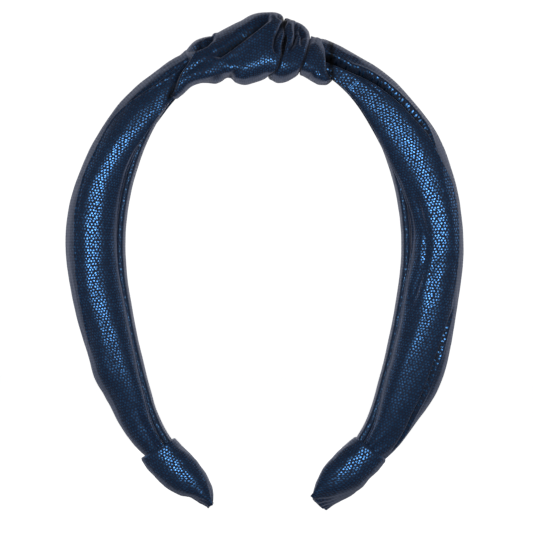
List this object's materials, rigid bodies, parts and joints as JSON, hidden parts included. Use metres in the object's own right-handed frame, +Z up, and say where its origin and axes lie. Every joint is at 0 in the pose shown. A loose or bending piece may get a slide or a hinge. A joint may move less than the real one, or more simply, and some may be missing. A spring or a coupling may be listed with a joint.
{
  "type": "knotted headband",
  "caption": "Padded fabric headband with a wrapped knot at the crown and sewn end caps; its legs spring open to fit over the head.",
  "frame": {"origin": "on the band's mid-plane where the crown of the head meets the underside of the knot", "axes": "as worn: +Z up out of the head, +X towards the wearer's left, -Y towards the front, so the legs run down along -Z"},
  "size_m": [0.1414, 0.0447, 0.1751],
  "materials": {
    "foil_fabric": "navy cloth printed all over with fine glossy blue foil dots",
    "foam": "soft open padding, hidden inside",
    "core_plastic": "springy moulded strip, hidden inside",
    "thread": "twisted navy sewing thread"
  },
  "bodies": {
    "crown": {"core_crown": "core_plastic", "sock_crown": "foil_fabric", "knot_filling": "foam", "knot_left_tuck": "foil_fabric", "knot_front_pass": "foil_fabric", "knot_back_pass": "foil_fabric", "knot_centre_wrap": "foil_fabric", "knot_right_collar": "foil_fabric", "knot_stitches": "thread"},
    "left_leg": {"core_left": "core_plastic", "sock_left": "foil_fabric", "foam_left": "foam", "sleeve_left": "foil_fabric", "cap_left": "foil_fabric", "cap_stitches_left": "thread"},
    "right_leg": {"core_right": "core_plastic", "sock_right": "foil_fabric", "foam_right": "foam", "sleeve_right": "foil_fabric", "cap_right": "foil_fabric", "cap_stitches_right": "thread"}
  },
  "joints": [
    {"name": "left_leg_flex", "type": "hinge", "parent": "crown", "child": "left_leg", "pos_m": [-0.03022, 0, -0.00141], "axis": [0, 1, 0], "range_deg": [-5, 20], "stiffness_Nm_per_rad": 0.6},
    {"name": "right_leg_flex", "type": "hinge", "parent": "crown", "child": "right_leg", "pos_m": [0.02369, 0, 0.00378], "axis": [0, -1, 0], "range_deg": [-5, 20], "stiffness_Nm_per_rad": 0.6}
  ]
}
